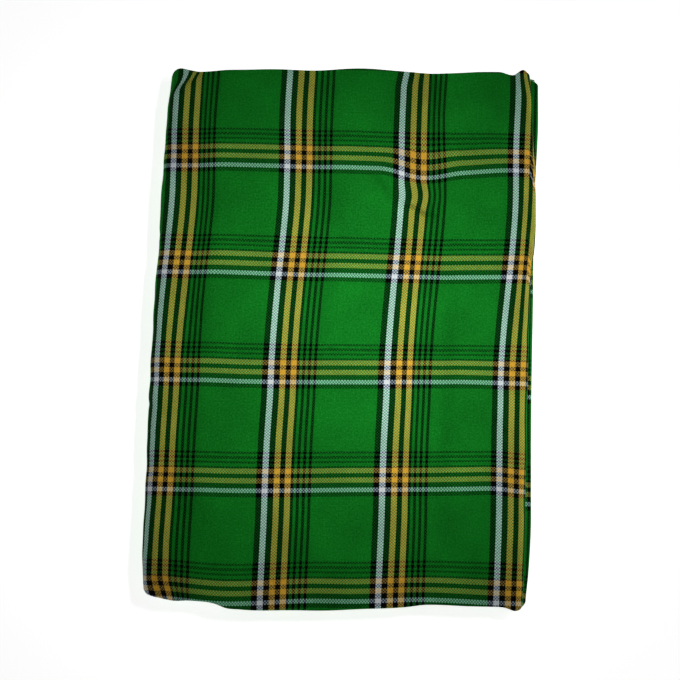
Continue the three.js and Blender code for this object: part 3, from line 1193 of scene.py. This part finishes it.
@dataclass
class FoldedShuka:
    """The whole bundle: the cloth that shows, the lower fold, and the layers inside.

    Args:
        bundle: the form of the pile.
        lie: how the check lies on it.
        relief: creases and unevenness of its top and sides.
        finish: the woven material.
        hidden_half, lower_half: half of the thickness of those pieces' walls.
        left_fullness, right_fullness: how much the wrap's turns fill their corners.
    """

    bundle: Bundle
    lie: PatternLie
    relief: Relief
    finish: bpy.types.Material
    hidden_half: float = 1.4
    lower_half: float = 1.3
    left_fullness: float = 3.2
    right_fullness: float = 2.8
    lower_slip: float = -7.3
    # Where the check lies at the lower fold's nose; black lines are set there partly as painted shade.
    lower_nose: float = 37.2

    def declare(self, piece: bpy.types.Object, node: str, flat: tuple[float, float]) -> None:
        """Dresses a piece, hangs it under the root, hides the solid that it replaces, and logs its
        size.

        Args:
            piece: the finished piece.
            node: the solid that it replaces.
            flat: width and length of its stretch of cloth, laid out flat, in metres.
        """
        piece.data.materials.append(self.finish)
        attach(piece, ROOT)
        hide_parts(node)
        LOG.info("%s: %d faces, %.3f by %.3f m flat", piece.name, len(piece.data.polygons), *flat)

    def outer(self) -> bpy.types.Object:
        """The strip that shows: underneath, round the left side, over the top and in again."""
        shape, half = self.bundle, self.bundle.panel / 2
        line = Line()
        radius, full = shape.left_turn - half, self.left_fullness
        left = Turn(shape.left_centre, shape.pile / 2, radius, -1, -1, half=half, fullness=full)
        height, radius, full = shape.upper_turn_height, shape.upper_turn - half, self.right_fullness
        right = Turn(shape.right_centre, height, radius, 1, 1, half=half, fullness=full)
        length = shape.under_hem - shape.left_centre
        run = shape.left_centre - left.length() - length
        run = line.straight(shape.under_hem, shape.left_centre, 29, half, -1, 0, run)
        run = line.turn(left, 28, (0, 7), run)
        run = line.straight(shape.left_centre, shape.right_centre, 180, shape.pile - half, 1, 7, run)
        run = line.turn(right, 18, (7, 4), run)
        back = shape.right_centre - shape.upper_return
        low = right.z - right.radius
        run = line.straight(shape.right_centre, back, 2, low, -1, 4, run)
        line.finish(back, low, -1, 4, run)
        wall = Wall("check_cloth_wrap", shape, self.lie, self.relief, half, trim=WRAP_TRIM)
        piece = wall.build(line)
        self.declare(piece, "outer_wrap", (self.length_of(line), 2 * shape.half_depth * MM))
        return piece

    def lower(self) -> bpy.types.Object:
        """The lower right turn, which stands out past the one above it."""
        shape, half = self.bundle, self.lower_half
        line = Line()
        centre = shape.right - shape.lower_turn
        radius = shape.lower_turn - shape.gap - half
        turn = Turn(centre, shape.lower_turn_height, radius, 1, 1, half=half)
        nose = centre + math.pi * (radius + half) / 2
        run = shape.lower_fold_back
        run = line.straight(run, centre, 4, turn.z + radius, 1, 3, run)
        run = line.turn(turn, 14, (3, 2), run)
        run = line.straight(centre, shape.lower_fold_back, 4, turn.z - radius, -1, 2, run)
        line.finish(shape.lower_fold_back, turn.z - radius, -1, 2, run)
        lie = replace(self.lie, slant=LOWER_SLANT, pulls=LOWER_PULLS)
        # The check is slipped so that black lines lie at the nose, partly as painted shade.
        slip = (nose - lie.line_x - self.lower_nose, self.lower_slip)
        wall = Wall("check_cloth_lower_fold", shape, lie, None, half, slip=slip, trim=LOWER_TRIM)
        wall.past_from, wall.past_full = shape.lower_fold_back, centre
        piece = wall.build(line)
        past = 2 * float(np.mean(np.array(shape.past_edge.rows)[:, 1])) * MM
        self.declare(piece, "lower_fold", (self.length_of(line) + past, 2 * shape.half_depth * MM))
        return piece

    def hidden(self) -> bpy.types.Object:
        """The layers inside, as two stretches of the strip joined into one piece."""
        shape, half = self.bundle, self.hidden_half
        left, right, panel = shape.left_centre, shape.right_centre, shape.panel
        high, stop = shape.upper_turn_height, shape.lower_fold_back - shape.gap
        wall = Wall("check_cloth_layers", shape, self.lie, None, half, middle=False)

        def middle(number: int) -> float:
            """Height of a panel's middle line."""
            return (number + 0.5) * panel

        inner = Line()
        back = right - shape.upper_return - shape.gap
        run = right + math.pi * shape.upper_turn + shape.upper_return
        run = inner.straight(back, left, 110, middle(4), -1, 4, run)
        run = inner.turn(Turn(left, shape.pile / 2, panel / 2, -1, 1, -1, half), 8, (4, 3), run)
        run = inner.straight(left, stop, 114, middle(3), 1, 3, run)
        inner.finish(stop, middle(3), 1, 3, run)
        first = wall.build(inner)
        first.name = "check_cloth_inner_layers"

        outer = Line()
        run = outer.straight(stop, left, 114, middle(2), -1, 2, run)
        run = outer.turn(Turn(left, shape.pile / 2, 1.5 * panel, -1, -1, 1, half), 12, (2, 5), run)
        run = outer.straight(left, right, 114, middle(5), 1, 5, run)
        run = outer.turn(Turn(right, high, panel / 2, 1, -1, -1, half), 8, (5, 6), run)
        run = outer.straight(right, left, 114, middle(6), -1, 6, run)
        run = outer.turn(Turn(left, shape.pile / 2, 2.5 * panel, -1, 1, -1, half), 16, (6, 1), run)
        run = outer.straight(left, shape.second_hem, 116, middle(1), 1, 1, run)
        outer.finish(shape.second_hem, middle(1), 1, 1, run)
        piece = wall.build(outer)

        bpy.ops.object.select_all(action="DESELECT")
        first.select_set(True)
        piece.select_set(True)
        bpy.context.view_layer.objects.active = piece
        bpy.ops.object.join()
        length = self.length_of(inner) + self.length_of(outer)
        self.declare(piece, "folded_core", (length, 2 * shape.half_depth * MM))
        return piece

    def length_of(self, line: Line) -> float:
        """Length of a stretch of the strip along its outer face, in metres."""
        return (line.run[-1] - line.run[0]) * MM

    def build(self) -> list[bpy.types.Object]:
        """Makes every piece of cloth."""
        return [self.outer(), self.lower(), self.hidden()]


# --------------------------------------------------------------------------- the studio


@dataclass(frozen=True)
class Lamp:
    """A soft rectangular lamp.

    Args:
        name: its name.
        place, aim: where it is and what it points at, in metres.
        size: length of its sides, in metres.
        power: in watts.
        spread: widest angle of its light, in degrees.
    """

    name: str
    place: tuple[float, float, float]
    aim: tuple[float, float, float]
    size: tuple[float, float]
    power: float
    spread: float = 180.0


@dataclass
class Studio:
    """A pale floor, soft lamps and the camera.

    Args:
        target: what the camera looks at, in millimetres.
        distance: from the target to the camera, in millimetres.
        tilt: how far the camera leans to the front of the bundle, in degrees.
        roll: how far it is turned about its line of sight, in degrees.
        lens: its focal length, in millimetres.
        floor_size: length of the floor's sides, in metres.
        floor_drop: how far it lies under the bundle, in metres.
        floor_glow: strength of its own light.
        ambient: strength of the light from all round.
        lamps: the lamps.
    """

    target: tuple[float, float, float] = (-2.3, -3.0, 12.0)
    distance: float = 1200.0
    tilt: float = 8.0
    roll: float = 1.5
    lens: float = 97.0
    floor_size: float = 8.0
    floor_drop: float = 0.0003
    floor_glow: float = 0.85
    ambient: float = 0.08
    lamps: tuple[Lamp, ...] = (
        Lamp("right_pool", (0.31, 0.11, 0.7), (-0.004, 0.004, 0.0), (0.18, 0.05), 0.16, 35.0),
        Lamp("right_key", (1.15, 0.4, 0.8), (0.0, 0.0, 0.0), (0.5, 0.6), 2.4),
    )

    def camera(self) -> None:
        """Makes the camera."""
        tilt, roll = math.radians(self.tilt), math.radians(self.roll)
        sight = Vector((0, math.sin(tilt), -math.cos(tilt)))
        level_up = Vector((0, math.cos(tilt), math.sin(tilt)))
        level_right = Vector((1, 0, 0))
        right = math.cos(roll) * level_right + math.sin(roll) * level_up
        up = math.cos(roll) * level_up - math.sin(roll) * level_right
        data = bpy.data.cameras.new("camera")
        data.lens = self.lens
        data.sensor_width = 36.0
        camera = bpy.data.objects.new("camera", data)
        bpy.context.scene.collection.objects.link(camera)
        turned = Matrix((right, up, -sight)).transposed()
        place = (Vector(self.target) - sight * self.distance) * MM
        camera.matrix_world = Matrix.Translation(place) @ turned.to_4x4()
        bpy.context.scene.camera = camera

    def floor(self) -> None:
        """Makes the floor."""
        bpy.ops.object.select_all(action="DESELECT")
        bpy.ops.mesh.primitive_plane_add(size=self.floor_size, location=(0, 0, -self.floor_drop))
        floor = bpy.context.active_object
        floor.name = "studio_floor"
        material = bpy.data.materials.new("pale_floor")
        graph = Graph(material)
        surface = graph.node("ShaderNodeBsdfPrincipled")
        surface.inputs["Base Color"].default_value = (0.93, 0.93, 0.93, 1.0)
        surface.inputs["Roughness"].default_value = 0.9
        surface.inputs["Specular IOR Level"].default_value = 0.1
        surface.inputs["Emission Color"].default_value = (1.0, 1.0, 1.0, 1.0)
        surface.inputs["Emission Strength"].default_value = self.floor_glow
        output = graph.node("ShaderNodeOutputMaterial")
        graph.feed(output.inputs[0], surface.outputs[0])
        floor.data.materials.append(material)

    def lamp(self, lamp: "Lamp") -> None:
        """Adds a soft lamp."""
        data = bpy.data.lights.new(lamp.name, "AREA")
        data.shape = "RECTANGLE"
        data.size, data.size_y = lamp.size
        data.energy = lamp.power
        data.spread = math.radians(lamp.spread)
        placed = bpy.data.objects.new(lamp.name, data)
        bpy.context.scene.collection.objects.link(placed)
        way = Vector(lamp.aim) - Vector(lamp.place)
        placed.location = lamp.place
        placed.rotation_euler = way.to_track_quat("-Z", "Y").to_euler()
        placed.visible_camera = False

    def world(self) -> None:
        """Sets the even light from all round."""
        world = bpy.data.worlds.new("studio")
        world.use_nodes = True
        back = world.node_tree.nodes["Background"]
        back.inputs[0].default_value = (1.0, 1.0, 1.0, 1.0)
        back.inputs[1].default_value = self.ambient
        bpy.context.scene.world = world
        bpy.context.scene.view_settings.view_transform = "Standard"
        # The weave is as fine as the noise of a render, so the noise filter reads it unsmoothed.
        bpy.context.scene.cycles.denoising_prefilter = "NONE"

    def build(self) -> None:
        """Makes the whole studio."""
        self.camera()
        self.floor()
        for lamp in self.lamps:
            self.lamp(lamp)
        self.world()


# --------------------------------------------------------------------------- edges, creases, pulls

# How the wrap's edges, and then the lower fold's, stand off those of the settled bundle.
WRAP_TRIM = Trim(
    right=Curve(
        (
            (-172, 1.0), (-130, 0.6), (-66, 0.4), (-10, 0.7), (26, 1.4), (46, 2.2), (66, 4.1),
            (93, 4.2), (113, 3.1), (140, 1.2), (167, 0.5), (177, -0.5),
        )
    ),
    front=Curve(
        ((-114, 0.4), (-104, 1.2), (-94, 0.2), (56, 0.4), (108, 0.4), (115, 1.8), (119, 2.6))
    ),
    back=Curve(
        (
            (-120, 0.0), (-117, 1.6), (-113, 2.2), (-106, 1.2), (-99, 1.2), (-90, 0.5),
            (-76, 0.0), (-20, 0.6), (50, 0.4), (90, 0.8), (105, 1.2), (113, 0.9), (116, 1.4),
            (119, 3.0),
        )
    ),
)
LOWER_TRIM = Trim(
    right=Curve(
        ((-175, 1.8), (-150, 1.3), (-100, 0.9), (-38, 1.0), (26, 1.1), (60, 0.6), (170, 0.5))
    ),
    front=Curve(((118, 1.0), (122, 1.6))),
    back=Curve(((118, 1.0), (121, 4.4), (122.5, 6.6), (124, 7.2), (125, 7.0), (126.3, 5.0))),
    end_reach=24.0,
)
# The lower fold's own lie: its lines run straight, and its back corner is pulled back.
LOWER_SLANT = Curve(((-170, 0.0), (170, 0.0)))
LOWER_PULLS = (Drag(124.0, 186.0, 60.0, 30.0, 0.0, 12.0),)
# The steps over folds underneath, the pinched crease with its foot, and the wide soft ridges.
TOP_CREASES = (
    Ledge(((63, 73), (63, 33), (62, -16), (62, -42), (60, -94), (62, -145)), 13.0, 2.3, 22.0),
    Ledge(((10.5, 109), (18.7, 99.5), (26.8, 89), (33.4, 84)), 6.0, 1.5, 12.0),
    Ledge(((36, 84.5), (44.6, 83.4), (47.6, 80.5), (51, 79), (57, 78)), 2.6, 2.4, 8.0),
    Crease(((35, 84), (44.8, 82.6), (47.8, 79.8), (51.5, 78.4), (59, 78)), 3.2, -3.0),
    Crease(((51.5, 79.5), (53, 85), (52.5, 92)), 3.6, -1.5),
    Ledge(((-99, 190), (-99, 65), (-102, -7), (-105, -100), (-105.6, -170)), 16.0, 2.4, 14.0),
    Ledge(
        ((88.6, -126), (86, -138), (84.4, -147), (83, -157), (81.4, -163), (79, -178)),
        8.0, 1.6, 12.0,
    ),
    Ledge(((52, 190), (51, 160), (50, 130)), 12.0, 2.0, 10.0),
    Ledge(((-22, 190), (-22, 120), (-21, 50), (-24, -20)), 20.0, 1.6, 16.0),
    Crease(((-64, 180), (-66, 60), (-70, -60), (-72, -180)), 44.0, 1.2),
    Crease(((8, 185), (4, 60), (0, -60), (-2, -185)), 44.0, 1.2),
    Crease(((84, 185), (82, 60), (79, -60), (77, -185)), 36.0, 0.8),
    Crease(((68.5, 168.0), (71.0, 156.0), (73.5, 148.0)), 4.0, -0.5),
    Crease(((-118.0, 161.0), (-110.0, 166.5), (-101.0, 172.5)), 3.6, -0.9),
)
# The creases of the two turns, at places unrolled round them.
SIDE_CREASES = (
    Crease(((-150.0, 60.0), (-138.0, 66.0), (-122.0, 62.0)), 6.0, -0.6),
    Crease(((-148.0, -40.0), (-132.0, -48.0), (-118.0, -52.0)), 5.0, -0.5),
    Crease(((-141.0, 150.0), (-136.0, 90.0), (-138.0, 20.0)), 7.0, 0.4),
    Crease(((-136.0, 0.0), (-134.0, -70.0), (-138.0, -150.0)), 8.0, -0.4),
    Crease(((118.0, 120.0), (122.0, 100.0), (119.0, 70.0)), 5.0, -0.3),
    Crease(((120.0, -30.0), (123.0, -60.0), (119.0, -110.0)), 5.0, -0.3),
)
PULLS = (
    Drag(48.0, 106.0, 28.0, 30.0, 0.0, -3.6),
    Drag(66.0, 106.0, 46.0, 34.0, 0.0, -2.6),
    Drag(48.0, 92.0, 20.0, 12.0, 1.6, 0.0),
    Tuck((-118.0, 161.0), (-101.0, 172.5), 8.0, 6.0, 5.5, 0.0),
    Drag(122.0, 178.0, 14.0, 20.0, -4.0, 0.0),
    Drag(124.0, 80.0, 5.6, 80.0, 0.0, -11.0),
    Drag(122.0, 52.0, 12.0, 90.0, -2.2, 0.0),
    Drag(-112.0, -180.0, 24.0, 22.0, 5.0, 0.0),
    Drag(-124.0, -60.0, 17.0, 120.0, 1.3, 0.0),
    Drag(-88.0, 130.0, 12.0, 110.0, -1.8, 0.0),
    Drag(-90.0, 30.0, 12.0, 70.0, -1.4, 0.0),
    Drag(36.0, 180.0, 22.0, 16.0, 2.0, 0.0),
    Drag(66.0, 150.0, 14.0, 50.0, -1.7, 0.0),
    Drag(110.0, -22.0, 42.0, 85.0, -1.5, 0.0),
    Drag(110.0, 156.0, 40.0, 45.0, 0.9, 0.0),
    Drag(-112.0, -135.0, 36.0, 46.0, -1.0, 0.0),
    Drag(-40.0, 156.0, 34.0, 44.0, -0.6, 0.0),
    Drag(-40.0, -30.0, 34.0, 80.0, 0.5, 0.0),
    Drag(36.0, -40.0, 15.0, 160.0, 0.5, 0.0),
    Drag(56.0, -40.0, 15.0, 160.0, -0.6, 0.0),
)


def main() -> None:
    """Builds the studio and the folded cloth."""
    logging.basicConfig(level=logging.INFO, format="%(message)s")
    Studio().build()
    relief = Relief(creases=TOP_CREASES + SIDE_CREASES)
    lie = PatternLie(pulls=PULLS)
    finish = CheckWeave().build("check_weave")
    FoldedShuka(Bundle(), lie, relief, finish).build()


if __name__ == "__main__":
    main()
